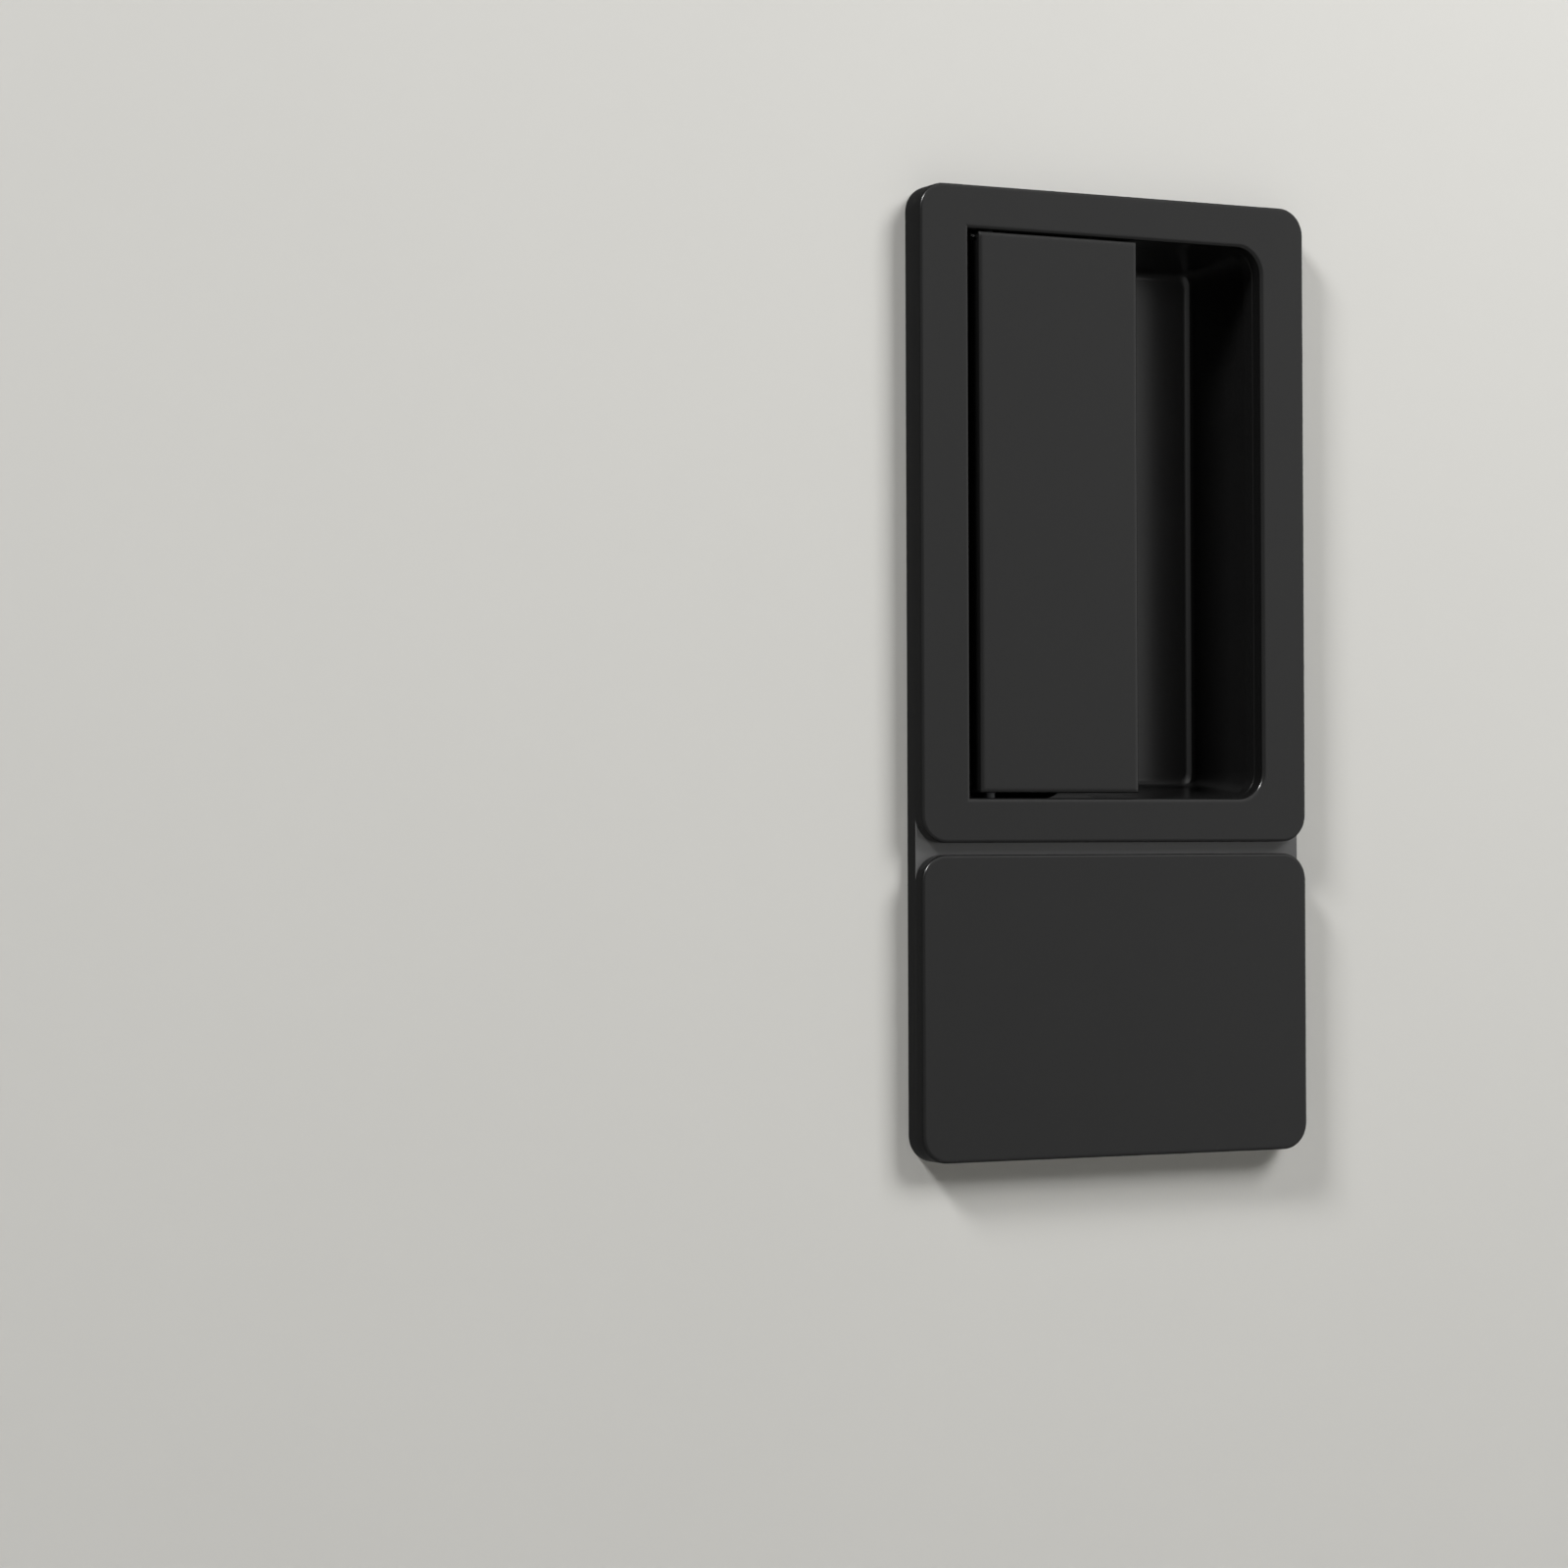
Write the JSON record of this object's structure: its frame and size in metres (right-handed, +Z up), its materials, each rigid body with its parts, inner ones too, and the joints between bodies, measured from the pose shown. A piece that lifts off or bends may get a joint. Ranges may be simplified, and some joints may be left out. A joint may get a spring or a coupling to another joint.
{
  "type": "magnetic door latch",
  "caption": "Flush door latch with a hinged pull paddle over a finger pocket, a sliding key cover, and a mortise case with magnetic latch bolt and key deadbolt.",
  "frame": {"origin": "on the door-side face of the base plate, on the plate's centre line, midway in the groove between face frame and key cover", "axes": "+X to the right as the latch is seen from the front, +Y into the door, +Z up"},
  "size_m": [0.109, 0.0386, 0.1599],
  "materials": {
    "black_coating": "satin black powder coat on die-cast zinc",
    "case_steel": "galvanised sheet steel",
    "forend_steel": "satin stainless steel",
    "bolt_nickel": "satin nickel plate",
    "magnet_nickel": "nickel-plated magnet",
    "screw_steel": "zinc-plated steel",
    "spring_steel": "drawn steel wire",
    "cylinder_brass": "machined brass",
    "buffer_rubber": "moulded black rubber"
  },
  "bodies": {
    "trim": {"base_plate": "black_coating", "face_frame": "black_coating", "frame_screws": "screw_steel", "hinge_pin": "spring_steel", "paddle_spring": "spring_steel", "paddle_buffers": "buffer_rubber", "cover_keepers": "screw_steel", "lock_case": "case_steel", "case_lid": "case_steel", "case_screws": "screw_steel", "forend": "forend_steel", "forend_screws": "screw_steel", "latch_spring": "spring_steel", "key_cylinder": "cylinder_brass", "cylinder_screw": "screw_steel"},
    "paddle": {"paddle": "black_coating"},
    "latch": {"latch_bolt": "bolt_nickel", "latch_magnet": "magnet_nickel", "latch_carrier": "screw_steel", "carrier_rivets": "screw_steel", "spring_guide": "screw_steel"},
    "cover": {"key_cover": "black_coating", "cover_studs": "screw_steel", "cover_slides": "screw_steel", "cover_magnets": "magnet_nickel"},
    "plug": {"cylinder_plug": "cylinder_brass", "cylinder_cam": "cylinder_brass"},
    "deadbolt": {"deadbolt": "bolt_nickel"}
  },
  "joints": [
    {"name": "paddle_swing", "type": "hinge", "parent": "trim", "child": "paddle", "pos_m": [-0.02315, -0.0026, 0.0549], "axis": [0, 0, -1], "range_deg": [0, 30], "stiffness_Nm_per_rad": 0.1, "springref_deg": -57.3, "deforming": ["paddle_spring"]},
    {"name": "latch_slide", "type": "slide", "parent": "trim", "child": "latch", "axis": [1, 0, 0], "range_m": [0, 0.0125], "deforming": ["latch_spring"]},
    {"name": "cover_slide", "type": "slide", "parent": "trim", "child": "cover", "axis": [0, 0, -1], "range_m": [0, 0.03]},
    {"name": "plug_turn", "type": "hinge", "parent": "trim", "child": "plug", "pos_m": [0, 0, -0.0171], "axis": [0, -1, 0], "range_deg": [0, 80]},
    {"name": "deadbolt_slide", "type": "slide", "parent": "trim", "child": "deadbolt", "axis": [-1, 0, 0], "range_m": [0, 0.01632]}
  ],
  "couplings": [
    {"joint": "latch_slide", "follows": "paddle_swing", "m_per_rad": 0.02375},
    {"joint": "plug_turn", "follows": "deadbolt_slide", "rad_per_m": 85.52}
  ]
}
